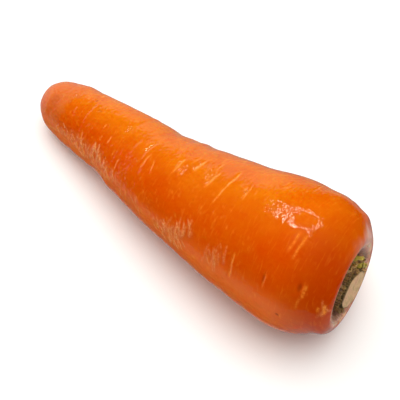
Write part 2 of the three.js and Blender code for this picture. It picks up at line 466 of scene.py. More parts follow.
@dataclass(frozen=True)
class RootForm:
    """The rule of the taproot's shape, with the sizes of the part's source and some of its dents softer."""

    outline: Pairs = (
        (-0.3, 0), (0.1, 3.5), (1.4, 6.6), (3.9, 9.5), (8, 12.1), (14, 13.6), (22, 14.9), (35, 16.0),
        (52, 18.0), (70, 20.6), (88, 22.8), (105, 25.4), (119, 27.7), (131, 29.8), (141, 31.0),
        (149, 31.4), (156, 30.5), (162, 28.2), (167, 25.2), (170.4, 22.0), (171.6, 18.6), (170.6, 16.2),
        (168, 14.6), (165.2, 13.4), (163.4, 11), (163, 5.5), (163, 0),
    )
    bend: Pairs = ((4, 0), (46, -0.9), (88, -4.2), (130, -2.2), (172, 0))
    rest_near_tip: tuple[float, float] = (24, 15.1)
    rest_at_shoulder: tuple[float, float] = (138, 30.7)
    flattened: float = 0.45
    lean_degrees: float = 7.2
    lean_towards: float = 176
    lean_span: tuple[float, float] = (154, 171)
    lean_reach: float = 19
    level_line: float = 25
    lumps: tuple[tuple[float, float, float, float], ...] = (
        (2, 0.8, 40, 0.45), (3, 1.5, 200, 0.3), (1, 2.4, 75, 0.25), (5, 1.1, 310, 0.15),
    )
    # From the tip, degrees round, half widths along and round, and depth; below 0 it is a bump.
    dents: tuple[tuple[float, float, float, float, float], ...] = (
        (18, 25, 4, 9, -0.4), (55, 25, 4, 10, -0.3), (70, 27, 4.5, 12, 0.7), (85, 27, 3.5, 12, -0.6),
        (96, 27, 6, 12, -0.4), (121, 27, 9, 16, 1.0), (147, 27, 5, 14, 0.6), (167, 22, 5, 14, -1.6),
        (31, 201, 3.5, 9, -0.2), (46, 201, 5.5, 10, 0.9), (57, 201, 3.5, 10, -0.3),
        (115, 200, 8, 14, -0.5), (146, 200, 5, 12, -0.3), (167, 203, 5, 13, 1.6), (24, 110, 5, 9, 0.35),
        (88, 150, 7, 16, 0.45), (104, 80, 8, 14, 0.35), (76, 300, 7, 18, 0.5), (126, 320, 9, 20, 0.4),
    )
    crease_seed: int = 7
    crease_count: int = 110
    crease_share: float = 0.35  # how much of the source's coarse creases the fine skin keeps
    smooth_spot: tuple[float, float, float, float] = (143, 92, 22, 22)
    relief_fades: tuple[float, float, float, float] = (2, 9, 164, 171)
    hollow_aside: float = -1.6
    hollow_span: tuple[float, float] = (13, 18)
    hollow_from: float = 160
    rim: int = 20  # which point of the outline is the rim

    @property
    def slope(self) -> float:
        """How fast the root's middle rises towards the crown as it lies."""
        (tip, low), (shoulder, high) = self.rest_near_tip, self.rest_at_shoulder
        return (high - low) / (shoulder - tip)

    def sideways(self, at: Array) -> Array:
        """How far the root's middle wanders sideways.

        Args:
            at: distances from the tip.
        Returns:
            Distances towards +Y.
        """
        bend = np.array(self.bend, float)
        share = (np.asarray(at, float) - bend[0, 0]) / (bend[-1, 0] - bend[0, 0])
        return curve_through(bend, share)[..., 1]

    def axes_at(self, at: Array) -> tuple[Array, Array, Array, Array]:
        """The root's middle and its directions.

        Args:
            at: distances from the tip.
        Returns:
            The middle, forward, side and upside at each distance.
        """
        at = np.asarray(at, float)
        step = 0.5
        height = self.rest_near_tip[1] + self.slope * (at - self.rest_near_tip[0]) - self.flattened
        middle = np.stack([at, self.sideways(at), height], -1)
        drift = (self.sideways(at + step) - self.sideways(at - step)) / (2 * step)
        forward = np.stack([np.ones_like(at), drift, np.full_like(at, self.slope)], -1)
        forward /= np.linalg.norm(forward, axis=-1, keepdims=True)
        side = np.cross([0.0, 0.0, 1.0], forward)
        side /= np.linalg.norm(side, axis=-1, keepdims=True)
        return middle, forward, side, np.cross(forward, side)

    def sleek(self, grid: Grid) -> Array:
        """How smooth the skin is: 1 on the shoulder's upper side, 0 well away from it."""
        return grid.mound(*self.smooth_spot)

    def coarse_relief(self, grid: Grid) -> Array:
        """How far the lumps, dents and coarse creases stand out of the plain outline.

        Args:
            grid: the places.
        Returns:
            Heights.
        """
        grid = grid._replace(radius=np.maximum(grid.radius, self.relief_fades[0]))
        height = np.zeros_like(grid.at)
        for count, per_100, phase, tall in self.lumps:
            along = np.sin(TAU * per_100 * grid.at / 100 + math.radians(phase))
            height += tall * np.sin(count * (grid.angle - math.radians(self.level_line))) * along
        for dent in self.dents:
            height -= grid.mound(*dent)
        creases = np.zeros_like(grid.at)
        for a, b, c, d, e in draws(self.crease_seed, self.crease_count * 5).reshape(-1, 5):
            across = bell(grid.at - 10 - 148 * a, 0.8 + 0.4 * c)
            creases += (0.14 + 0.28 * e) * across * bell(grid.around(TAU * b), 2.5 + 5 * d)
        return height - self.crease_share * creases * (1 - self.sleek(grid))

    def on_root(self, grid: Grid, height: Array) -> Array:
        """Places on the root.

        Args:
            grid: where they are on the plain outline.
            height: relief at each place, which fades at the tip and the rim.
        Returns:
            One row for each place.
        """
        at, radius, angle, _ = grid
        tip, rim = self.relief_fades[:2], self.relief_fades[2:]
        raised = radius + height * smooth(radius, *tip) * (1 - smooth(at, *rim))
        arm = np.minimum(radius, self.lean_reach) * np.cos(angle - math.radians(self.lean_towards))
        out = math.tan(math.radians(self.lean_degrees)) * arm * smooth(at, *self.lean_span)
        hollow = np.where(at > self.hollow_from, 1 - smooth(radius, *self.hollow_span), 0)
        middle, forward, side, upside = self.axes_at(at)
        across = raised * np.cos(angle) + self.hollow_aside * hollow
        place = middle + forward * out[..., None] + side * across[..., None]
        place = place + upside * (raised * np.sin(angle))[..., None]
        place[..., 2] = np.maximum(place[..., 2], 0)
        return place

    @property
    def rim_at(self) -> float:
        """How far the rim is from the tip."""
        return self.outline[self.rim][0]

    def crown_frame(self) -> Matrix:
        """The frame of the crown: +X out of it from the rim, leaning as the rim does.

        Returns:
            The frame, in millimetres, at the form's own place.
        """
        middle, forward, side, upside = (v[0] for v in self.axes_at(np.array([self.rim_at])))
        towards = math.radians(self.lean_towards)
        leant = Vector(side * math.cos(towards) + upside * math.sin(towards))
        basis = Matrix((forward, side, upside)).transposed().to_4x4()
        leaning = Matrix.Rotation(math.radians(self.lean_degrees), 4, leant.cross(Vector(forward)))
        return Matrix.Translation(Vector(middle + side * self.hollow_aside)) @ leaning @ basis


# ---- finishes ----


@dataclass(frozen=True)
class CarrotSkin:
    """Washed carrot skin: thin, wet-looking and slightly see-through, over orange flesh.

    Light goes a few millimetres into the flesh and comes back redder, so shaded sides glow red. The side
    away from the light and the end by the crown are also painted a deeper red, a painted shade. The skin
    on top is smooth enough to mirror the room, and is broken by fine wrinkles that run round it.
    """

    bright: str = "DA7206"
    plain: str = "D46602"
    # deep: the red of the painted shade on the side away from the light and towards the crown, also where the
    # flesh drifts deeper
    deep: str = "D24800"
    # dry: a paler orange on the underside, partly dry skin and partly painted light that the floor throws
    # back
    dry: str = "F07C2C"
    tip: str = "CE6826"
    # shoulder: darker red painted towards the crown, a painted shade
    shoulder: str = "B43A00"
    cork: str = "FFA034"
    frayed: str = "F2A660"
    # pit: dark red in the pits, partly their own colour and partly painted shade, and under the frayed
    # patches
    pit: str = "8E2E08"
    rim: str = "D8AC9C"
    wall: str = "AC7C62"
    wall_dark: str = "6C4636"
    # lip: pale peach at the rim, partly torn skin and partly painted reflection
    lip: str = "F8D0AC"
    drift_mm: float = 12.0  # how far apart the flesh's paler and deeper parts are
    wrinkle_mm: float = 0.9  # from one fine wrinkle to the next, along the root
    wrinkle_length_mm: float = 5.0
    speckle_mm: float = 0.8
    mottle_mm: float = 2.2
    grain_mm: float = 1.5
    wrinkle_deep_mm: float = 0.06
    grain_deep_mm: float = 0.13
    fray_deep_mm: float = 0.25
    coarser: float = 2.6  # how much more the wrinkles and the grain stand up in the coarse spots
    roughness: float = 0.055
    dull_roughness: float = 0.3
    flesh_glow: float = 0.7
    flesh_radius: Triple = (1.0, 0.32, 0.1)
    flesh_radius_mm: float = 2.4

    def material(self) -> bpy.types.Material:
        """Builds the skin's material.

        Returns:
            The material.
        """
        material, add = new_material("carrot_skin_washed")
        place = add("Attribute", attribute_name="straight").outputs["Vector"]
        names = "scar fray pit coarse flush dry tipward crownward inside lip bleached".split()
        shares = {name: add("Attribute", attribute_name=name).outputs["Fac"] for name in names}
        # The flesh's colour drifts over a few centimetres.
        drift = add("TexNoise", {"Vector": place, "Scale": 1 / self.drift_mm, "Detail": 6, "Roughness": 0.72})
        flesh = add("ValToRGB", [drift], stops=[(0.36, self.plain), (0.62, self.bright)])
        # Painted shade: the deep red comes in where the painted shade is strong and where the flesh drifts
        # deeper.
        painted_shade_and_drift = add("Math.MULTIPLY_ADD", [drift, -0.7, shares["flush"]], use_clamp=True)
        # Fine streaks go round the root, where the skin is a little paler.
        along, across = 1 / self.wrinkle_mm, 1 / self.wrinkle_length_mm
        squeezed = add("VectorMath.MULTIPLY", [place, (along, across, across)])
        streak = add(
            "TexNoise", {"Vector": squeezed, "Scale": 1.0, "Detail": 2, "Roughness": 0.5, "Distortion": 0.4}
        )
        pale = add("MapRange", [streak, 0.52, 0.8, 0.0, 0.14], **EASED)
        # Finer patterns: speckles, the hollow's mottling and the grain.
        speckle, mottle, grain = (
            add("TexNoise", {"Vector": place, "Scale": 1 / size_mm, "Detail": detail, "Roughness": rough})
            for size_mm, detail, rough in (
                (self.speckle_mm, 2, 0.6), (self.mottle_mm, 5, 0.7), (self.grain_mm, 0, 0.5)
            )
        )
        # Cork shows in the cracks, but not all along them, and frayed skin is thinner in some places.
        broken = add("MapRange", [speckle, 0.35, 0.6, 0.4, 1.0], **EASED)
        # The cork colour also paints the pits' lips pale, a painted highlight.
        cork_and_lip_highlight = add("Math.MULTIPLY", [shares["scar"], broken], use_clamp=True)
        fray = add("Math.MULTIPLY", [shares["fray"], broken], use_clamp=True)
        # The wall of the hollow is dull, mottled and bruised.
        wall = add("ValToRGB", [mottle], stops=[(0.34, self.wall_dark), (0.5, self.wall), (0.68, self.rim)])
        colour = flesh
        # Painted light among these mixes: the deep and shoulder reds are painted shade, the dry orange is
        # partly painted bounce light, the pit red is partly painted shade, the cork on the pits' lips is a
        # painted highlight, and the pale lip is partly painted reflection.
        for share, over in (
            (painted_shade_and_drift, self.deep), (shares["tipward"], self.tip), (shares["dry"], self.dry),
            (shares["crownward"], self.shoulder), (pale, self.cork), (cork_and_lip_highlight, self.cork),
            (shares["pit"], self.pit), (fray, self.frayed), (shares["inside"], wall),
            (shares["bleached"], self.rim), (shares["lip"], self.lip),
        ):
            colour = add("Mix", {0: share, 6: colour, 7: over}, **COLOURS)
        # Frayed skin, the hollow, the tip and the pale rim are dull.
        dull = fray
        for name in ("inside", "tipward", "bleached"):
            dull = add("Math.MAXIMUM", [dull, shares[name]])
        rough = add("MapRange", [dull, 0.0, 1.0, self.roughness, self.dull_roughness])
        # Wrinkles and grain stand up more where the skin has dried coarse, less where it is smooth.
        coarser = add("Math.MULTIPLY_ADD", [shares["coarse"], self.coarser, 1.0])
        streaky, grainy = (add("Math.MULTIPLY", [pattern, coarser]) for pattern in (streak, grain))
        bump = add("Bump", {"Strength": 1.0, "Distance": self.wrinkle_deep_mm * MM, "Height": streaky})
        for strength, deep_mm, height in ((1.0, self.grain_deep_mm, grainy), (0.6, self.fray_deep_mm, fray)):
            raised = {"Strength": strength, "Distance": deep_mm * MM, "Height": height}
            bump = add("Bump", {**raised, "Normal": bump})
        shader = add("BsdfPrincipled", {
            "Base Color": colour, "Roughness": rough, "IOR": PLANT_IOR, "Normal": bump,
            "Subsurface Weight": self.flesh_glow, "Subsurface Radius": self.flesh_radius,
            "Subsurface Scale": self.flesh_radius_mm * MM,
        }, subsurface_method="RANDOM_WALK")
        add("OutputMaterial", {"Surface": shader})
        return material


@dataclass(frozen=True)
class CutStem:
    """A leaf stem cut across with a knife: dry, pale pith with woody strands, and a dark rind."""

    pith: str = "D6AE80"
    pink: str = "CC9A78"
    wood: str = "B8986A"
    strand: str = "7C6238"
    rind: str = "5A4418"
    gap: str = "2E1E06"
    strand_mm: float = 1.1
    drift_mm: float = 2.4
    roughness: float = 0.75

    def material(self) -> bpy.types.Material:
        """Builds the stem's material.

        Returns:
            The material.
        """
        material, add = new_material("stem_cut_dry")
        place = add("Attribute", attribute_name="straight").outputs["Vector"]
        face, reach = (add("Attribute", attribute_name=name).outputs["Fac"] for name in ("face", "reach"))
        # The knife has dragged the pith along, so its mottling is drawn out one way.
        dragged = add("VectorMath.MULTIPLY", [place, (0.5, 1.0, 0.35)])
        scale = 1 / self.drift_mm
        drift = add("TexNoise", {"Vector": dragged, "Scale": scale, "Detail": 4, "Roughness": 0.6})
        pith = add("ValToRGB", [drift], stops=[(0.36, self.wood), (0.5, self.pith), (0.66, self.pink)])
        cells = add("TexVoronoi", {"Vector": place, "Scale": 1 / self.strand_mm}, feature="F1")
        dots = add("MapRange", [cells, 0.05, 0.4, 0.35, 0.0], **EASED)
        edge = add("MapRange", [reach, 0.9, 1.0, 0.0, 0.85], **EASED)
        # Woody fibres run down its side, with dark gaps between them.
        fibres = add("VectorMath.MULTIPLY", [place, (0.25, 1.8, 1.8)])
        strip = add("TexNoise", {"Vector": fibres, "Scale": 1.0, "Detail": 4, "Roughness": 0.65})
        side = add("ValToRGB", [strip], stops=[(0.36, self.gap), (0.52, self.rind), (0.66, self.strand)])
        cut = pith
        for share, over in ((dots, self.strand), (edge, self.rind)):
            cut = add("Mix", {0: share, 6: cut, 7: over}, **COLOURS)
        colour = add("Mix", {0: face, 6: side, 7: cut}, **COLOURS)
        height = add("Math.ADD", [strip, dots])
        bump = add("Bump", {"Strength": 0.8, "Distance": 0.3 * MM, "Height": height})
        shader = add("BsdfPrincipled", {
            "Base Color": colour, "Roughness": self.roughness, "IOR": PLANT_IOR, "Normal": bump,
            "Subsurface Weight": 0.2, "Subsurface Radius": (1.0, 0.6, 0.35), "Subsurface Scale": 1.2 * MM,
        })
        add("OutputMaterial", {"Surface": shader})
        return material


class Dryness(Enum):
    """How far a leaf base has dried: its two colours."""

    FRESH = ("8E7A18", "D2BC54")
    HALF_DRY = ("8A5E22", "D0A468")
    DRY = ("54341A", "9A7440")


@dataclass(frozen=True)
class LeafBase:
    """What is left of a leaf's stalk: ribbed green flesh that dries to brown, fibrous skin."""

    dryness: Dryness
    rib_mm: float = 0.7
    roughness: float = 0.55

    def material(self) -> bpy.types.Material:
        """Builds the leaf base's material.

        Returns:
            The material.
        """
        material, add = new_material("leaf_base_" + self.dryness.name.lower())
        dark, light = self.dryness.value
        place = add("Attribute", attribute_name="straight").outputs["Vector"]
        ribs = add("VectorMath.MULTIPLY", [place, (0.2, 1 / self.rib_mm, 1 / self.rib_mm)])
        strip = add("TexNoise", {"Vector": ribs, "Scale": 1.0, "Detail": 4, "Roughness": 0.6})
        colour = add("ValToRGB", [strip], stops=[(0.38, dark), (0.62, light)])
        bump = add("Bump", {"Strength": 0.7, "Distance": 0.2 * MM, "Height": strip})
        shader = add("BsdfPrincipled", {
            "Base Color": colour, "Roughness": self.roughness, "IOR": PLANT_IOR, "Normal": bump,
            "Subsurface Weight": 0.25, "Subsurface Radius": (1.0, 0.8, 0.2), "Subsurface Scale": 0.8 * MM,
        })
        add("OutputMaterial", {"Surface": shader})
        return material


# ---- sub-assemblies ----


@dataclass
class Taproot:
    """The orange root: one closed skin from the blunt tip to the floor of the hollow in the crown."""

    form: RootForm
    finish: CarrotSkin
    ring_step: float = 0.48
    inner_step: float = 0.9
    sides: int = 200
    settle: float = 0.06  # how far the skin stays inside the solid
    floor_disc: float = 5.5  # the last part of the hollow's floor is one disc under the stem
    marks: tuple[Mark, ...] = tuple(starmap(Mark, (
        (24.5, 112, 121, 0, 0.4, 0.12, 0.3), (30.8, 120, 128, 0, 0.4, 0.1, 0.21),
        (35.5, 130, 147, 1.4, 0.48, 0.2, 0.59), (45.5, 101, 110, -0.3, 0.4, 0.15, 0.47),
        (46.4, 123, 127, 1.2, 0.4, 0.12, 0.51), (51.9, 111, 125, 0.1, 0.44, 0.16, 0.51),
        (57.9, 123, 134, -0.1, 0.44, 0.16, 0.42), (62.2, 129, 146, 0, 0.44, 0.16, 0.42),
        (74.8, 99, 121, -0.2, 0.48, 0.2, 0.51), (78.4, 104, 118, 1.8, 0.48, 0.2, 0.38),
        (72.5, 83, 112, -0.4, 0.72, 0.25, 0.1), (89.3, 83, 105, -0.3, 0.48, 0.22, 0.64),
        (91.3, 95, 105, 0.3, 0.48, 0.16, 0.38), (97.4, 73, 92, -0.9, 0.56, 0.25, 0.72),
        (94.2, 70, 84, -1.2, 0.4, 0.14, 0.34), (103.6, 87, 95, 0.6, 0.4, 0.16, 0.42),
        (104.6, 67, 79, 0, 0.48, 0.16, 0.34), (107.0, 80, 102, -1.8, 0.56, 0.26, 0.77),
        (115.0, 72, 93, -1.3, 0.56, 0.26, 0.77), (113.7, 91, 112, -1.3, 0.4, 0.2, 0.59),
        (123.4, 83, 98, 0.1, 0.48, 0.2, 0.51), (121.8, 86, 90, 0, 0.56, 0.2, 0.85),
        (131.8, 137, 163, 0.2, 0.56, 0.25, 0.55), (147.6, 138, 151, -0.5, 0.48, 0.3, 0.34),
        (152.0, 100, 117, -0.4, 0.56, 0.3, 0.5), (154.9, 99, 120, -0.6, 0.56, 0.3, 0.5),
        (162.6, 133, 146, -0.2, 0.48, 0.1, 0.59), (161.8, 145, 158, -0.6, 0.4, 0.15, 0.34),
        (169.6, 146, 160, 0.6, 0.56, 0.2, 0.68), (168.0, 150, 156, 0.2, 0.4, 0.2, 0.59),
        (91.6, 162, 169, 0, 0.56, 0.15, 0.68), (137.0, 66, 74, -3.0, 0.4, 0.15, 0.3),
    )))
    pits: tuple[Pit, ...] = tuple(starmap(Pit, (
        (31.4, 74, 0.5, 0.9, 0.06, 0.5), (33.4, 84, 0.4, 0.7, 0.05, 0.4), (37.4, 88, 1.3, 0.4, 0.06, 0.45),
        (38.5, 80, 0.4, 0.8, 0.05, 0.4), (25.1, 147, 0.4, 0.4, 0.2, 0.6), (36.4, 158, 0.4, 0.5, 0.2, 0.5),
        (44.5, 164, 0.5, 0.5, 0.25, 0.6), (54.5, 143, 0.5, 0.4, 0.25, 0.8), (56.0, 169, 0.5, 0.5, 0.2, 0.5),
        (13.5, 112, 3.2, 3.2, 0.1, 0.15), (160.6, 138, 0.8, 1.9, 0.8, 0.42), (155.4, 171, 0.8, 0.8, 0.5, 0.8),
        (146.6, 144, 0.6, 2.4, 0.35, 0.3), (104, 117, 0.5, 0.5, 0.15, 0.15), (70, 250, 1.1, 1.5, 0.6, 0.6),
        (110, 285, 1.2, 1.9, 0.7, 0.6), (38, 300, 0.9, 1.2, 0.45, 0.5), (128, 20, 1.0, 1.5, 0.5, 0.5),
        (151, 330, 1.2, 1.8, 0.6, 0.6),
    )))
    patches: tuple[Patch, ...] = tuple(starmap(Patch, (
        (24, 155, 6, 3.5, 16, 0.7), (32, 155, 6, 4.0, 22, 0.8), (41, 158, 6, 4.5, 30, 0.95),
        (49, 147, 4, 3.5, 22, 1.0), (52, 160, 6, 4.5, 22, 0.8), (62, 162, 7, 3.5, 14, 0.6),
        (92, 166, 2, 3.0, 6, 0.8), (98, 165, 4, 4.0, 22, 0.9), (102, 157, 4, 4.5, 26, 0.85),
        (107, 147, 3, 3.5, 10, 0.7), (121, 155, 3.5, 2.5, 16, 0.6), (125, 148, 3, 3.0, 8, 0.4),
        (77, 165, 5, 3.5, 8, 0.5), (169.5, 152, 1.2, 3.0, 4, 0.5), (60, 262, 8, 8.0, 30, 0.6),
        (120, 310, 9, 9.0, 30, 0.6), (142, 240, 7, 8.0, 24, 0.6),
    )))
    patch_seed: int = 61
    patch_fray: float = 0.12  # how much an evenly rubbed patch shows between its strands
    patch_dark: float = 0.2
    strand_tall: float = 0.1
    patch_radius: float = 20  # the root's usual one, which turns millimetres round it into an angle
    strewn: tuple[Scatter, ...] = tuple(starmap(Scatter, (
        (23, 46, 14, 160, 205, 410, 26, 0.55), (29, 60, 84, 142, 108, 152, 4, 0.32),
        (31, 44, 20, 90, 70, 150, 6, 0.28), (37, 120, 12, 162, 160, 420, 6, 0.4),
        (43, 14, 95, 132, 60, 110, 5, 0.3),
    )))
    coarse_spots: tuple[tuple[float, float, float, float], ...] = (
        (156.0, 98, 1.3, 6.0), (135, 96, 3.5, 4.5), (91.5, 100, 1.2, 3.0), (101.5, 84, 2.0, 3.0),
        (122, 88, 1.4, 1.6),
    )
    relief: ClassVar[dict[str, float]] = {
        "Wrinkle Height": 0.05 * MM, "Wrinkle Spacing": 1.6, "Wrinkle Length": 7.0,
        "Bump Height": 0.18 * MM, "Bump Size": 6.0, "Fray Height": 0.35 * MM,
    }
    # Where the skin gets its painted shade: the side away from the light.
    painted_shade_side: Pairs = ((80, 135), (230, 330))  # the light is on the other
    dry_and_bounce_side: Pairs = ((143, 172), (300, 345))
    upper_side: Pairs = ((50, 80), (150, 190))
    tip_edges: Pairs = ((19.5, 23), (6, 30))  # on the upper side and elsewhere
    tip_waves: Triples = ((1.6, 3, 1), (1.1, 8, 0), (0.6, 19, 2))
    rim_waves: Triples = ((1.2, 3, 1), (0.7, 11, 0), (0.4, 29, 0))
    pale_rim_sides: Triples = ((34, 0.55, 1.0), (207, 0.3, 0.6))
    pale_rim_reach: float = 4
    bleached: float = 0.85

    def skin_grid(self) -> Grid:
        """Where the skin's vertices are.

        Returns:
            The places, a ring to a row.
        """
        outline = np.array(self.form.outline, float)
        share = np.linspace(0, 1, 6001)
        line = curve_through(outline, share)
        length = np.concatenate([[0], np.cumsum(np.linalg.norm(np.diff(line, axis=0), axis=1))])
        rim = np.interp(self.form.rim / (len(outline) - 1), share, length)
        end = length[-1] - self.floor_disc
        outer = np.linspace(self.ring_step, rim, round(rim / self.ring_step))
        inner = np.linspace(rim, end, round((end - rim) / self.inner_step))[1:]
        steps = np.concatenate([outer, inner])
        at = np.interp(steps, length, line[:, 0])
        radius = np.maximum(np.interp(steps, length, line[:, 1]), 0.02)
        angle = np.arange(self.sides) * TAU / self.sides
        shape = (len(steps), self.sides)
        inside = smooth(steps, rim - 0.6, rim + 2.5)
        columns = (at[:, None], radius[:, None], angle, inside[:, None])
        return Grid(*(np.broadcast_to(v, shape).copy() for v in columns))

    def all_marks(self) -> list[Mark]:
        """The placed marks, and the ones that are strewn by chance.

        Returns:
            The marks.
        """
        made = list(self.marks)
        for w in self.strewn:
            for a, b, c, d, e in draws(w.seed, w.count * 5).reshape(-1, 5):
                start = w.angle_from + (w.angle_to - w.angle_from) * b
                at = w.at_from + (w.at_to - w.at_from) * a
                span = w.longest * (0.3 + 0.7 * c)
                depth, pale = 0.2 * span / 26 + 0.03, w.palest * (0.35 + 0.65 * d)
                made.append(Mark(at, start, start + span, 1.2 * (d - 0.5), 0.3 + 0.2 * e, depth, pale))
        return made

    def strands(self) -> list[Mark]:
        """The strands of the frayed patches, as marks that stand up instead of in.

        Returns:
            The strands.
        """
        made = []
        row = iter(draws(self.patch_seed, 5 * sum(q.strands for q in self.patches)).reshape(-1, 5))
        for q in self.patches:
            reach = math.degrees(q.across / self.patch_radius)
            for _ in range(q.strands):
                a, b, c, d, e = next(row)
                middle = q.angle + reach * (2 * b - 1)
                half = 2 + 5 * c
                at, pale = q.at + q.along * (2 * a - 1), q.frayed * (0.45 + 0.55 * d)
                drift, width = 4.5 * (d - 0.5), 0.28 + 0.22 * e
                made.append(Mark(at, middle - half, middle + half, drift, width, -self.strand_tall, pale))
        return made

    def fine_relief(self, grid: Grid) -> tuple[Array, dict[str, Array]]:
        """Relief of the marks, pits and patches, and how much of each shows at each vertex.

        Args:
            grid: where the vertices are.
        Returns:
            Heights, and the strengths by name.
        """
        at, _, angle, _ = grid
        height = np.zeros_like(at)
        scar, fray, dark, coarse = (np.zeros_like(at) for _ in range(4))
        for m, shown in [(m, scar) for m in self.all_marks()] + [(m, fray) for m in self.strands()]:
            near = np.abs(at[:, 0] - m.at - m.drift / 2) < abs(m.drift) / 2 + 4 * m.width + 0.3
            middle, half = math.radians((m.start + m.end) / 2), math.radians((m.end - m.start) / 2)
            share = turn(middle, angle[near]) / half
            ends = 1 - smooth(np.abs(share), 0.65, 1.1)
            wander = min(0.25, 0.6 * half) * np.sin(5 * share + m.at)
            across = at[near] - m.at - m.drift * (share + 1) / 2 - wander
            height[near] -= m.depth * bell(across + 0.5 * m.width, m.width) * ends
            if m.depth > 0:
                height[near] += 0.5 * m.depth * bell(across - 0.9 * m.width, m.width) * ends
            shown[near] = np.maximum(shown[near], m.pale * bell(across, 0.95 * m.width) * ends)
        # Each pit's hole is painted dark, partly its own colour and partly painted shade; its lip on the
        # crown side gets the pale cork colour, a painted highlight where it faces the light.
        for p in self.pits:
            hole = grid.mound(p.at, p.angle, p.along, p.across)
            lip = grid.mound(p.at + 1.6 * p.along, p.angle, 0.6 * p.along, 1.4 * p.across)
            height += 0.45 * p.depth * lip - p.depth * hole
            dark = np.maximum(dark, p.dark * smooth(hole, 0.25, 0.8))
            scar = np.maximum(scar, 0.6 * p.dark * lip)
        for q in self.patches:
            spread = smooth(grid.mound(q.at, q.angle, 1.1 * q.along, 1.1 * q.across), 0.1, 0.8)
            fray = np.maximum(fray, self.patch_fray * q.frayed * spread)
            dark = np.maximum(dark, self.patch_dark * q.frayed * spread)
        for spot in self.coarse_spots:
            coarse = np.maximum(coarse, grid.mound(*spot))
        return height, {"scar": scar, "fray": fray, "pit": dark, "coarse": coarse}

    def relief_tree(self) -> bpy.types.NodeTree:
        """The tree that raises the skin's fine wrinkles and softer bumps along its normals.

        Returns:
            The tree.
        """
        tree = new_tree("carrot_skin_relief", self.relief)
        add = partial(add_node, tree)
        given = add("NodeGroupInput").outputs
        place, fray, calm = (
            add(STORED, {"Name": name}, data_type=kind)
            for name, kind in (("straight", "FLOAT_VECTOR"), ("fray", "FLOAT"), ("calm", "FLOAT"))
        )
        squeeze = add("CombineXYZ", [given[f"Wrinkle {way}"] for way in ("Spacing", "Length", "Length")])
        squeezed = add("VectorMath.DIVIDE", [place, squeeze])
        wrinkle = add(
            "TexNoise", {"Vector": squeezed, "Scale": 1.0, "Detail": 2.0, "Roughness": 0.5, "Distortion": 0.3}
        )
        swollen = add("VectorMath.DIVIDE", [place, given["Bump Size"]])
        bump = add("TexNoise", {"Vector": swollen, "Scale": 1.0, "Detail": 2.0, "Roughness": 0.5})
        heights = []
        for pattern, height in ((wrinkle, "Wrinkle Height"), (bump, "Bump Height"), (wrinkle, "Fray Height")):
            centred = add("Math.MULTIPLY", [add("Math.SUBTRACT", [pattern, 0.5]), 2.0])
            heights.append(add("Math.MULTIPLY", [centred, given[height]]))
        torn = add("Math.MULTIPLY", [heights[2], fray])
        total = add("Math.ADD", [add("Math.ADD", heights[:2]), torn])
        total = add("Math.MULTIPLY", [total, calm])
        offset = add("VectorMath.SCALE", {0: add("GeometryNodeInputNormal"), "Scale": total})
        moved = add("GeometryNodeSetPosition", {"Geometry": given["Geometry"], "Offset": offset})
        real = add("GeometryNodeRealizeInstances", [moved])
        dressed = add("GeometryNodeSetMaterial", {"Geometry": real, "Material": given["Material"]})
        add("NodeGroupOutput", [dressed])
        return tree

    def strengths(self, grid: Grid, shown: dict[str, Array]) -> dict[str, Array]:
        """How strongly each look of the skin shows at each vertex.

        Args:
            grid: where the vertices are.
            shown: the strengths of the fine relief, by name.
        Returns:
            All the strengths, by name.
        """
        at, radius, angle, inside = grid
        degrees = np.degrees(angle)
        sleek = self.form.sleek(grid)
        # Painted shade: redder on the side away from the light, and towards the crown.
        flush = 0.35 + 0.8 * plateau(degrees, *self.painted_shade_side) + 0.4 * smooth(at, 128, 166)
        # The dull tip ends raggedly, and most sharply on the upper side.
        sharp = plateau(degrees, *self.upper_side)
        near, wide = (smooth(at + waves(angle, *self.tip_waves), *edge) for edge in self.tip_edges)
        # The skin beside the rim is paler and pinker, most of all on two sides.
        rim = self.form.rim_at
        beside = smooth(at + waves(angle, *self.rim_waves), rim - self.pale_rim_reach, rim)
        sides = (much * bell(turn(math.radians(way), angle), span) for way, span, much in self.pale_rim_sides)
        # A pale lip where the skin ends at the rim: partly torn skin, partly painted reflection of the rim's
        # edge.
        torn = 0.4 + 0.2 * np.sin(9 * angle) + 0.15 * np.sin(23 * angle)
        return shown | {
            # Painted shade: redder away from the light and towards the crown.
            "flush": np.clip(flush, 0, 1.2),
            # Paler orange on the underside: partly dry skin, partly painted bounce light from the floor.
            "dry": 0.6 * plateau(degrees, *self.dry_and_bounce_side),
            "tipward": 0.6 * (1 - (sharp * near + (1 - sharp) * wide)),
            # Painted shade: darker red towards the crown, weaker on the side that faces the light.
            "crownward": 0.85 * smooth(at, 150, 169) * (0.45 + 0.55 * smooth(degrees, 60, 120)),
            "inside": inside,
            "bleached": self.bleached * np.maximum(*sides) * beside,
            "lip": 4 * inside * (1 - inside) * torn,
            "coarse": shown["coarse"] - 0.17 * sleek,
            "calm": smooth(radius, 2, 9) * (1 - 0.8 * smooth(at, 164, 171)) * (1 - 0.9 * sleek),
        }

    def shift(self, low: Array, high: Array) -> Array:
        """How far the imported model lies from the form's own place, in millimetres.

        Args:
            low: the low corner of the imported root's box.
            high: its high corner.
        Returns:
            The shift, which is level.
        """
        grid = self.skin_grid()
        own = self.form.on_root(grid, self.form.coarse_relief(grid)).reshape(-1, 3)
        shift = ((low + high) - (own.min(0) + own.max(0))) / 2
        shift[2] = 0
        return shift

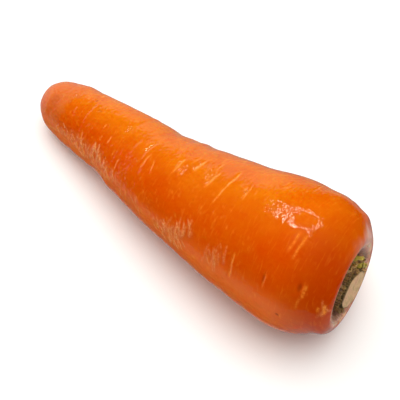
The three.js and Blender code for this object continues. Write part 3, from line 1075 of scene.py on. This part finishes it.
    def build(self, shift: Array) -> Object:
        """Makes the root's skin.

        Args:
            shift: from the form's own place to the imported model's, in millimetres.
        Returns:
            The finished piece.
        """
        grid = self.skin_grid()
        fine, shown = self.fine_relief(grid)
        height = self.form.coarse_relief(grid) + fine - self.settle
        base = make_object("taproot_skin_base", *capped_tube(self.form.on_root(grid, height) + shift))
        for name, values in self.strengths(grid, shown).items():
            store(base, name, np.concatenate([values.reshape(-1), values[0, :1], values[-1, :1]]))
        straight, ends = polar(*grid[:3]).reshape(-1, 3), grid.at[[0, -1], :1] * (1, 0, 0)
        store(base, "straight", np.vstack([straight, ends]))
        inputs = {**self.relief, "Material": self.finish.material()}
        skin = grown(base, self.relief_tree(), "taproot_skin", inputs)
        skin.data.shade_smooth()
        hand_over(skin, Node.TAPROOT)
        return skin


@dataclass(frozen=True)
class Crown:
    """Where the stem and the leaf bases sit."""

    frame: Matrix
    shift: Array  # from the form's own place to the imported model's, in millimetres

    @property
    def turned(self) -> Array:
        """The frame's axes, one to a column."""
        return np.array(self.frame.to_3x3())

    def placed(self, points: Array) -> Array:
        """Points of the crown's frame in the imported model's place, in millimetres."""
        turned = self.turned @ points.reshape(-1, 3).T
        return (turned.T + np.array(self.frame.translation)).reshape(points.shape) + self.shift

    def unplaced(self, points: Array) -> Array:
        """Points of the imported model's place in the crown's frame, in millimetres."""
        return (points - self.shift - np.array(self.frame.translation)) @ self.turned


def lobes(angle: Array) -> Array:
    """The slight lobes that the stem and the ring of leaf bases share, as shares of the radius."""
    return 1 + 0.03 * np.sin(3 * angle + 0.6) + 0.018 * np.sin(5 * angle + 2)


@dataclass
class Stem:
    """The trimmed stem in the hollow: a lobed plug, cut across not quite square."""

    crown: Crown
    finish: CutStem
    lean_towards: float
    radius: float = 8.6
    foot: float = -7.6
    top: float = 2.1
    edge: float = 0.5
    dish: float = 0.4
    slant: float = -5
    sides: int = 144
    bevel: float = 0.8  # at its foot
    side_rings: int = 26
    # The cut face from its edge inwards: shares of the edge off the top and off the radius, then
    # shares of the dish's depth and of the radius.
    rounding: Pairs = ((0.5, 0.15), (0.15, 0.5), (0, 1))
    dished: Pairs = (
        (0.35, 0.85), (0.35, 0.76), (0.1, 0.68), (0.1, 0.62), (0.5, 0.52),
        (0.7, 0.42), (0.85, 0.31), (1, 0.2), (1, 0.08),
    )

    def build(self) -> Object:
        """Makes the stem.

        Returns:
            The finished piece.
        """
        r, top, foot = self.radius, self.top, self.foot
        side = [(x, r) for x in np.linspace(foot + self.bevel, top - self.edge, self.side_rings)]
        face = [(top - self.edge * down, r - self.edge * out) for down, out in self.rounding]
        face += [(top - self.dish * down, r * share) for down, share in self.dished]
        pairs = np.array([(foot, r * 0.5), (foot, r - self.bevel), *side, *face])
        angle = np.arange(self.sides) * TAU / self.sides
        x, radius = (np.broadcast_to(pairs[:, k][:, None], (len(pairs), self.sides)).copy() for k in (0, 1))
        turned = np.broadcast_to(angle, x.shape)
        cut = smooth(x, foot + 4, top - self.edge)
        rise = cut * math.tan(math.radians(self.slant)) * radius
        x = x + rise * np.cos(turned - math.radians(self.lean_towards))
        # Strands stand out a little on the side, and the knife has left the face rough.
        on_face = np.zeros_like(x)
        on_face[len(side) + 2 :] = 1
        ribs = 0.12 * np.sin(31 * turned + 1.5 * np.sin(0.9 * x)) + 0.08 * np.sin(53 * turned + 2)
        radius = radius * lobes(turned) + ribs * (1 - on_face) - 0.15
        x = x - 0.12 * on_face * (1 + np.sin(7 * turned + 3 * radius) * np.sin(1.7 * radius + 2 * turned))
        points = polar(x, radius, turned)
        piece = make_object("cut_stem", *capped_tube(self.crown.placed(points)))
        store(piece, "straight", np.vstack([points.reshape(-1, 3), points[0].mean(0), points[-1].mean(0)]))
        store(piece, "face", np.append(on_face.ravel(), [0, 1]))
        store(piece, "reach", np.append((radius / self.radius).ravel(), [0, 0]))
        piece.data.materials.append(self.finish.material())
        hand_over(piece, Node.STEM)
        return piece


class Sheath(NamedTuple):
    """A torn leaf sheath that stands in the ring."""

    degrees: float
    span: float  # half of it, in degrees
    height: float  # above the rim
    tilt: float  # outwards
    dryness: Dryness


@dataclass
class LeafBases:
    """The ring of leaf bases round the stem, the stalk and sheaths left on it, and dry fibres."""

    crown: Crown
    inner: float = 9.1
    outer: float = 10.8
    foot: float = -6.8
    top: float = 0.5
    ragged: float = 0.45
    torn_waves: Triples = ((0.5, 5, 1), (0.3, 11, 2.2), (0.2, 17, 0))
    sides: int = 216
    wall_points: int = 56  # round the wall's cross-section
    sheaths: tuple[Sheath, ...] = tuple(starmap(Sheath, (
        (4, 15, 2.1, 2.2, Dryness.FRESH), (-16, 9, 1.9, 2.4, Dryness.HALF_DRY),
        (46, 17, 2.2, 3.3, Dryness.DRY), (62, 20, 2.3, -1.6, Dryness.DRY),
        (76, 9, 1.6, 4.6, Dryness.HALF_DRY), (91, 6, 1.0, 5.8, Dryness.HALF_DRY),
        (100, 12, 1.3, 1.4, Dryness.DRY), (124, 16, 1.2, 0.9, Dryness.DRY), (156, 18, 1.1, 0.5, Dryness.DRY),
        (188, 17, 1.2, 0.7, Dryness.DRY), (222, 20, 0.8, 0.6, Dryness.DRY),
        (284, 26, 0.4, 1.0, Dryness.HALF_DRY),
    )))
    sheath_rings: tuple[int, int] = (22, 40)  # their number, and the vertices in each
    sheath_thick: float = 1.0
    sheath_above: float = 2  # from the ring's foot to theirs
    stalk_radius: float = 2.7
    stalk_wall: float = 0.9
    stalk_reach: float = 10.6
    stalk_angle: float = 40
    stalk_foot: float = -5.5
    stalk_top: float = 1.9
    stalk_opening: float = 38  # degrees
    fibre_seed: int = 41
    fibre_count: int = 150
    fibre_splay: float = 0.35  # how far they lean outwards for each step out of the crown
    fibre_shortest: float = 0.35  # as a share of the longest
    length_seed: int = 11
    fibre_sizes: ClassVar[dict[str, float]] = {
        "Length": 1.9 * MM, "Thickness": 0.08 * MM, "Spread": 0.5, "Curl": 1.2 * MM, "Seed": 3,
    }

    @property
    def middle(self) -> float:
        """The radius half-way through the ring's wall."""
        return (self.inner + self.outer) / 2

    def ring_points(self) -> Array:
        """The ring's surface: a low wall with a ragged top edge.

        Returns:
            An array of ring, vertex and coordinate in the crown's frame.
        """
        mid, foot, top = self.middle, self.foot, self.top
        line = np.array([
            (foot, self.inner), (foot, self.outer), ((foot + top) / 2, self.outer + 0.3),
            (top - 0.4, self.outer - 0.1), (top, mid), (top - 0.5, self.inner),
            ((foot + top) / 2, self.inner), (foot, self.inner),
        ])
        share = np.linspace(0, 1, self.wall_points + 1)[:-1]
        corners = np.linspace(0, 1, len(line))
        pairs = np.stack([np.interp(share, corners, line[:, k]) for k in (0, 1)], -1)
        angle = np.arange(self.sides) * TAU / self.sides
        x, radius = (np.broadcast_to(pairs[:, k], (self.sides, len(pairs))) for k in (0, 1))
        turned = np.broadcast_to(angle[:, None], x.shape)
        torn = waves(turned, *self.torn_waves) + 0.35 * np.sin(47 * turned + 3 * np.sin(3 * turned))
        upper = smooth(x, foot, top)
        ribs = 0.13 * np.sin(43 * turned + 2 * np.sin(2 * turned)) * np.sign(radius - mid)
        # Held off the stem, but never so far in that the wall's two sides meet.
        nearest = self.inner + 0.05 + 0.15 * (radius - self.inner)
        radius = np.maximum((radius + ribs) * lobes(turned), nearest)
        return polar(x + self.ragged * torn * upper - 0.1, radius, turned)

    def sheath_body(self, sheath: Sheath) -> tuple[Array, Faces]:
        """A sheath: an upright blade that follows the ring, thins and frays to its tip.

        Args:
            sheath: which one.
        Returns:
            Its vertices in the crown's frame and its faces.
        """
        rows, around, thick, foot = *self.sheath_rings, self.sheath_thick, self.foot + self.sheath_above
        rise = np.linspace(0, 1, rows)[:, None]
        # Each ring of vertices goes round the blade's flat cross-section, which is a rounded oblong.
        t = np.arange(around) * TAU / around
        over = np.sign(np.cos(t)) * np.abs(np.cos(t)) ** 0.75
        deep = 0.5 * np.sign(np.sin(t)) * np.abs(np.sin(t)) ** 0.6
        narrow = 1 - 0.35 * rise**3
        peak = np.minimum(1 - 0.25 * over**4 + 0.08 * rise * np.sin(9 * over + sheath.degrees), 1)
        angle = math.radians(sheath.degrees) + math.radians(sheath.span) * over * narrow
        ribs = 0.08 * np.sin(14 * over + 1.3) * np.sign(deep)
        radius = self.middle + sheath.tilt * rise**2 + (thick * deep + ribs) * (1 - 0.45 * rise)
        x = foot + (sheath.height - foot) * rise * peak
        # A blade may lean in over the stem only above it.
        nearest = self.inner + 0.02 - 3 * smooth(x, 1.4, 2.0)
        radius = np.maximum(radius, nearest + 0.3 * (deep + 0.5))
        return capped_tube(polar(x, radius, angle))

    def stalk_body(self) -> tuple[Array, Faces]:
        """The stalk's base: a gutter-shaped stump, open towards the stem.

        Returns:
            Its vertices in the crown's frame and its faces.
        """
        opening = math.radians(self.stalk_opening)
        outer = np.linspace(math.pi + opening, 3 * math.pi - opening, 40)
        inner = np.linspace(math.pi - opening * 1.5, -math.pi + opening * 1.5, 34)
        r, thin = self.stalk_radius, self.stalk_radius - self.stalk_wall
        ridged = r * (1 + 0.03 * np.cos(9 * outer))
        section = np.vstack([
            np.stack([ridged * np.cos(outer), ridged * np.sin(outer)], -1),
            np.stack([0.35 + thin * np.cos(inner), thin * np.sin(inner)], -1),
        ])
        share = np.linspace(0, 1, 26)
        foot, top, reach = self.stalk_foot, self.stalk_top, self.stalk_reach
        bend = np.array([(foot, reach), ((foot + top) / 2, reach + 0.1), (top, reach + 0.9)])
        middle = curve_through(bend, share)
        along = np.gradient(middle, axis=0)
        along /= np.linalg.norm(along, axis=1, keepdims=True)
        outward = np.stack([-along[:, 1], along[:, 0]], -1)
        rings = np.empty((len(share), len(section), 3))
        rings[:, :, :2] = middle[:, None] + outward[:, None] * section[:, :1]
        rings[:, :, 2] = section[:, 1]
        # Its top has broken off unevenly.
        broken = 0.35 * (1 + np.sin(2.4 * section[:, 1] + 1) * np.cos(1.9 * section[:, 0]))
        rings[:, :, 0] -= smooth(share, 0.6, 1)[:, None] * broken
        turned = np.array(Matrix.Rotation(math.radians(self.stalk_angle), 3, "X"))
        return capped_tube(rings @ turned.T)

    def fibre_tree(self) -> bpy.types.NodeTree:
        """The tree that stands dry fibres on a ring of points.

        Returns:
            The tree.
        """
        tree = new_tree("leaf_base_fibres", self.fibre_sizes)
        add = partial(add_node, tree)
        given = add("NodeGroupInput").outputs
        straw = add("GeometryNodeMeshCone", {
            "Vertices": 5, "Side Segments": 5, "Radius Top": 0.25, "Radius Bottom": 1.0, "Depth": 1.0,
        }, fill_type="TRIANGLE_FAN")
        out = add(STORED, {"Name": "out"}, data_type="FLOAT_VECTOR")
        corners = {0: (-1.0,) * 3, 1: (1.0,) * 3}
        lean = add("FunctionNodeRandomValue", {**corners, "Seed": given["Seed"]}, data_type="FLOAT_VECTOR")
        lean = add("VectorMath.SCALE", {0: lean, "Scale": given["Spread"]})
        aim = add("VectorMath.ADD", [out, lean])
        turned = add("FunctionNodeAlignRotationToVector", {"Vector": aim}, axis="Z")
        shares = {2: self.fibre_shortest, 3: 1.0}
        longer = add("FunctionNodeRandomValue", {**shares, "Seed": self.length_seed}, data_type="FLOAT")
        length = add("Math.MULTIPLY", [longer, given["Length"]])
        size = add("CombineXYZ", [given["Thickness"], given["Thickness"], length])
        stood = add("GeometryNodeInstanceOnPoints", {
            "Points": given["Geometry"], "Instance": straw, "Rotation": turned, "Scale": size,
        })
        real = add("GeometryNodeRealizeInstances", [stood])
        swirl = add("TexNoise", {"Vector": add("GeometryNodeInputPosition"), "Scale": 400.0, "Detail": 1.0})
        swirl = add("VectorMath.SUBTRACT", [swirl.outputs["Color"], (0.5, 0.5, 0.5)])
        swirl = add("VectorMath.SCALE", {0: swirl, "Scale": given["Curl"]})
        curled = add("GeometryNodeSetPosition", {"Geometry": real, "Offset": swirl})
        dressed = add("GeometryNodeSetMaterial", {"Geometry": curled, "Material": given["Material"]})
        add("NodeGroupOutput", [dressed])
        return tree

    def finished(self, name: str, bodies: list[tuple[Array, Faces]], dryness: Dryness) -> Object:
        """Joins bodies of one finish into a piece and gives it to the frame.

        Args:
            name: the piece's name.
            bodies: vertices in the crown's frame and faces of each.
            dryness: how dry it looks.
        Returns:
            The finished piece.
        """
        faces: Faces = []
        count = 0
        for points, own in bodies:
            faces += [tuple(v + count for v in f) for f in own]
            count += len(points)
        points = np.vstack([points for points, _ in bodies])
        piece = make_object(name, self.crown.placed(points), faces)
        store(piece, "straight", points)
        piece.data.materials.append(LeafBase(dryness).material())
        hand_over(piece, Node.STUMPS)
        return piece

    def build(self) -> list[Object]:
        """Makes the ring, the sheaths by how dry they are, the stalk and the fibres.

        Returns:
            The finished pieces.
        """
        ring = self.ring_points()
        wall = (ring.reshape(-1, 3), grid_faces(*ring.shape[:2], closed=True))
        pieces = [self.finished("leaf_base_ring", [wall], Dryness.DRY)]
        for dryness in Dryness:
            bodies = [self.sheath_body(s) for s in self.sheaths if s.dryness is dryness]
            if dryness is Dryness.FRESH:
                bodies.append(self.stalk_body())
            pieces.append(self.finished(f"leaf_sheaths_{dryness.name.lower()}", bodies, dryness))
        return [*pieces, self.fibres()]

    def fibres(self) -> Object:
        """Makes the dry fibres in the ring's torn edge.

        Returns:
            The finished piece.
        """
        row = draws(self.fibre_seed, self.fibre_count * 3).reshape(-1, 3)
        angle = TAU * row[:, 0]
        radius = (self.inner + 0.2 + (self.outer - self.inner) * row[:, 1]) * lobes(angle)
        foot = self.top - 1.4 + 0.8 * row[:, 2]
        base = make_object("leaf_fibres_base", self.crown.placed(polar(foot, radius, angle)), [])
        store(base, "out", polar(np.ones_like(angle), self.fibre_splay, angle) @ self.crown.turned.T)
        inputs = {**self.fibre_sizes, "Material": LeafBase(Dryness.DRY).material()}
        piece = grown(base, self.fibre_tree(), "leaf_fibres", inputs)
        store(piece, "straight", self.crown.unplaced(vertices_of(piece) / MM))
        hand_over(piece, Node.STUMPS)
        return piece


# ---- studio ----


def direction_of(azimuth: float, elevation: float = 0.0) -> Triple:
    """The unit vector of an azimuth and an elevation in degrees."""
    a, e = math.radians(azimuth), math.radians(elevation)
    return math.cos(e) * math.cos(a), math.cos(e) * math.sin(a), math.sin(e)


class Glow(NamedTuple):
    """A soft patch of light in the room."""

    azimuth: float
    elevation: float
    strength: float


@dataclass
class Studio:
    """A white sweep in a room lit from above, from behind and from beyond the tip.

    What the skin mirrors is set apart from what lights it: low white walls, and over them a soft box
    that shows as a bright outline.
    """

    azimuth: float = 39.22
    elevation: float = 60.72
    distance: float = 454.0
    aside: float = 4.67
    above: float = -4.18
    target: float = 20.0  # height of the point that the camera goes round
    lens: float = 92.61
    sweep_half_m: float = 4.0
    sweep_below: float = 0.05  # how far the sweep lies under the root
    glows: tuple[Glow, ...] = (
        Glow(0, 90, 4.1), Glow(180, 15, 1.9), Glow(135, 50, 1.64), Glow(45, 50, 1.25), Glow(-90, 8, 0.3),
    )
    focus: float = 8.0  # power of the cosine by which a glow falls off
    box_direction: Triple = (-0.32, 0.40, 0.857)
    box_half_width: float = 0.285  # as a cosine, at its middle
    box_widens: float = 0.36
    box_middle: tuple[float, float] = (0.05, -0.015)  # how its middle moves aside upwards, and where from
    box_half_height: float = 0.268
    box_lower: float = 0.15  # how far its middle lies below its direction, in half heights
    box_tilt: float = 0.12
    box_power: float = 3.0  # 2 is an ellipse; more is squarer
    box_band: float = 0.22
    box_strength: float = 22.0
    box_colour: str = "FFF0D8"
    wall_azimuth: float = 163.0
    wall_low: float = -25.0
    wall_high: float = 22.0
    wall_spread: tuple[float, float] = (62.0, 28.0)  # degrees aside where it is low and high
    wall_edge: tuple[float, float] = (3.0, -4.0)  # degrees over its border where it ends and is full
    wall: float = 0.9
    wall_fades: tuple[float, float] = (-35.0, 18.0)  # elevations where it is darkest and full
    wall_least: float = 0.55
    bright_azimuth: float = 175.0
    bright_spread: tuple[float, float] = (0.5, 0.95)  # as cosines, where it is dimmer and full
    bright_least: float = 0.5
    shade_direction: Triple = (-0.37, -0.3, -0.87)
    shade_spread: tuple[float, float] = (10.0, 32.0)  # degrees from its middle where it is full and ends
    shade_least: float = 0.12

    def camera(self) -> None:
        """Makes the camera."""
        a, e = math.radians(self.azimuth), math.radians(self.elevation)
        right = Vector((math.cos(a), math.sin(a), 0))
        back = Vector((math.sin(a) * math.cos(e), -math.cos(a) * math.cos(e), math.sin(e)))
        up = back.cross(right)
        eye = Vector((0, 0, self.target)) + back * self.distance + right * self.aside + up * self.above
        data = bpy.data.cameras.new("camera")
        data.lens, data.sensor_width = self.lens, 36.0
        data.clip_start, data.clip_end = 0.01, 20.0
        made = linked("camera", data)
        pose = Matrix((right, up, back)).transposed().to_4x4()
        pose.translation = eye * MM
        made.matrix_world = pose
        bpy.context.scene.camera = made

    def floor(self) -> None:
        """Makes the white sweep. Its mirror image in the skin comes from the low walls instead."""
        half = self.sweep_half_m
        mesh = bpy.data.meshes.new("floor")
        corners = [(-half, -half, 0), (half, -half, 0), (half, half, 0), (-half, half, 0)]
        mesh.from_pydata(corners, [], [(0, 1, 2, 3)])
        made = linked("floor", mesh)
        made.location.z = -self.sweep_below * MM
        material, add = new_material("paper_sweep_white")
        place = add("TexCoord").outputs["Object"]
        tone = add("TexNoise", {"Vector": place, "Scale": 4.0, "Detail": 2})
        colour = add("ValToRGB", [tone], stops=[(0.4, "F4F3EF"), (0.6, "F8F7F4")])
        shader = add("BsdfPrincipled", {"Base Color": colour, "Roughness": 0.9, "IOR": 1.3})
        add("OutputMaterial", {"Surface": shader})
        mesh.materials.append(material)
        made.visible_glossy = False

    def lighting(self, add: Adder, direction: bpy.types.NodeSocket) -> bpy.types.Node:
        """Adds up the glows, each of which falls off as a power of the cosine.

        Args:
            add: adds a node to the world's tree.
            direction: where a ray goes.
        Returns:
            The node that gives the strength of the light.
        """
        lit: Any = 0.0
        for glow in self.glows:
            cosine = add("VectorMath.DOT_PRODUCT", [direction, direction_of(glow.azimuth, glow.elevation)])
            falloff = add("Math.POWER", [add("Math.MAXIMUM", [cosine, 0.0]), self.focus])
            lit = add("Math.MULTIPLY_ADD", [falloff, glow.strength, lit])
        return lit

    def mirrored_walls(self, add: Adder, direction: bpy.types.NodeSocket) -> bpy.types.Node:
        """The white that the skin mirrors: high beyond the tip, elsewhere only the sweep near the root.

        Args:
            add: adds a node to the world's tree.
            direction: where a ray goes.
        Returns:
            The node that gives the strength of the white.
        """
        upward = add("VectorMath.DOT_PRODUCT", [direction, (0, 0, 1)])
        elevation = add("Math.ARCSINE", [upward])
        flat = add("VectorMath.NORMALIZE", [add("VectorMath.MULTIPLY", [direction, (1, 1, 0)])])
        facing, brightly = (
            add("VectorMath.DOT_PRODUCT", [flat, direction_of(way)])
            for way in (self.wall_azimuth, self.bright_azimuth)
        )
        side, front = (math.cos(math.radians(v)) for v in self.wall_spread)
        low, high, none, full, dark, bright = (
            math.radians(v) for v in (self.wall_low, self.wall_high, *self.wall_edge, *self.wall_fades)
        )
        border = add("MapRange", [facing, side, front, low, high], **EASED)
        over = add("Math.SUBTRACT", [elevation, border])
        shown = add("MapRange", [over, none, full, 0.0, 1.0], **EASED)
        brightness = add("MapRange", [elevation, dark, bright, self.wall_least * self.wall, self.wall])
        turned = add("MapRange", [brightly, *self.bright_spread, self.bright_least, 1.0])
        # The root shades the sweep on the side away from the light.
        shade = tuple(Vector(self.shade_direction).normalized())
        towards_shade = add("VectorMath.DOT_PRODUCT", [direction, shade])
        middle, rim = (math.cos(math.radians(v)) for v in self.shade_spread)
        unshaded = add("MapRange", [towards_shade, rim, middle, 1.0, self.shade_least], **EASED)
        for share in (brightness, turned, unshaded):
            shown = add("Math.MULTIPLY", [shown, share])
        return shown

    def mirrored_box(self, add: Adder, direction: bpy.types.NodeSocket) -> bpy.types.Node:
        """The soft box that the skin mirrors: a bright edge, wider above than below.

        Args:
            add: adds a node to the world's tree.
            direction: where a ray goes.
        Returns:
            The node that gives the strength of the edge.
        """
        towards = Vector(self.box_direction).normalized()
        level = Vector((0, 0, 1)).cross(towards).normalized()
        across, upwards, ahead = (
            add("VectorMath.DOT_PRODUCT", [direction, tuple(axis)])
            for axis in (level, towards.cross(level), towards)
        )
        middle = add("Math.MULTIPLY_ADD", [upwards, *self.box_middle])
        half_width = add("Math.MULTIPLY_ADD", [upwards, self.box_widens, self.box_half_width])
        wide = add("Math.DIVIDE", [add("Math.SUBTRACT", [across, middle]), half_width])
        tilted = add("Math.MULTIPLY_ADD", [across, self.box_tilt, upwards])
        tall = add("Math.MULTIPLY_ADD", [tilted, 1 / self.box_half_height, self.box_lower])
        reach: Any = 0.0
        for share in (wide, tall):
            size = add("Math.POWER", [add("Math.ABSOLUTE", [share]), self.box_power])
            reach = add("Math.ADD", [size, reach])
        off = add("Math.ABSOLUTE", [add("Math.SUBTRACT", [reach, 1.0])])
        fades = (self.box_band, 0.5 * self.box_band, 0.0, self.box_strength)
        edge = add("MapRange", [off, *fades], **EASED)
        return add("Math.MULTIPLY", [edge, add("Math.GREATER_THAN", [ahead, 0.0])])

    def world(self) -> None:
        """Makes the room: its glows light everything, and mirrored rays see the walls and the soft box."""
        world = bpy.data.worlds.new("studio")
        world.use_nodes = True
        world.node_tree.nodes.clear()
        add = partial(add_node, world.node_tree)
        direction = add("TexCoord").outputs["Generated"]
        lit = self.lighting(add, direction)
        walls, box = self.mirrored_walls(add, direction), self.mirrored_box(add, direction)
        mirrored = add("Math.ADD", [walls, box])
        warm = add("Mix", {0: box, 6: "FFFFFF", 7: self.box_colour}, **COLOURS)
        rays = add("LightPath").outputs
        even, seen = (add("Background", {"Color": "FFFFFF", "Strength": strength}) for strength in (lit, 1.0))
        shiny = add("Background", {"Color": warm, "Strength": mirrored})
        room = add("MixShader", [rays["Is Glossy Ray"], even, shiny])
        room = add("MixShader", [rays["Is Camera Ray"], room, seen])
        add("OutputWorld", {"Surface": room})
        bpy.context.scene.world = world

    def build(self) -> None:
        """Makes the camera, the sweep and the room, and keeps the colours as they are lit."""
        self.camera()
        self.floor()
        self.world()
        view = bpy.context.scene.view_settings
        view.view_transform, view.look = "Standard", "None"


def report(pieces: list[Object]) -> None:
    """Logs each piece with its faces."""
    for piece in pieces:
        log.info("%s: %d faces", piece.name, len(piece.data.polygons))


def main() -> None:
    """Builds the carrot's pieces in order, then the studio."""
    logging.basicConfig(level=logging.INFO, format="%(name)s: %(message)s")
    form = RootForm()
    root = Taproot(form, CarrotSkin())
    # The source centres the whole carrot on its origin, so the box of the solids gives the shift.
    shift = root.shift(*(np.array(corner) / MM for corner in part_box(Node.TAPROOT.value)))
    log.info("shift %s", np.round(shift, 2))
    crown = Crown(form.crown_frame(), shift)
    stem = Stem(crown, CutStem(), form.lean_towards)
    pieces = [root.build(shift), stem.build(), *LeafBases(crown).build()]
    report(pieces)
    Studio().build()


if __name__ == "__main__":
    main()
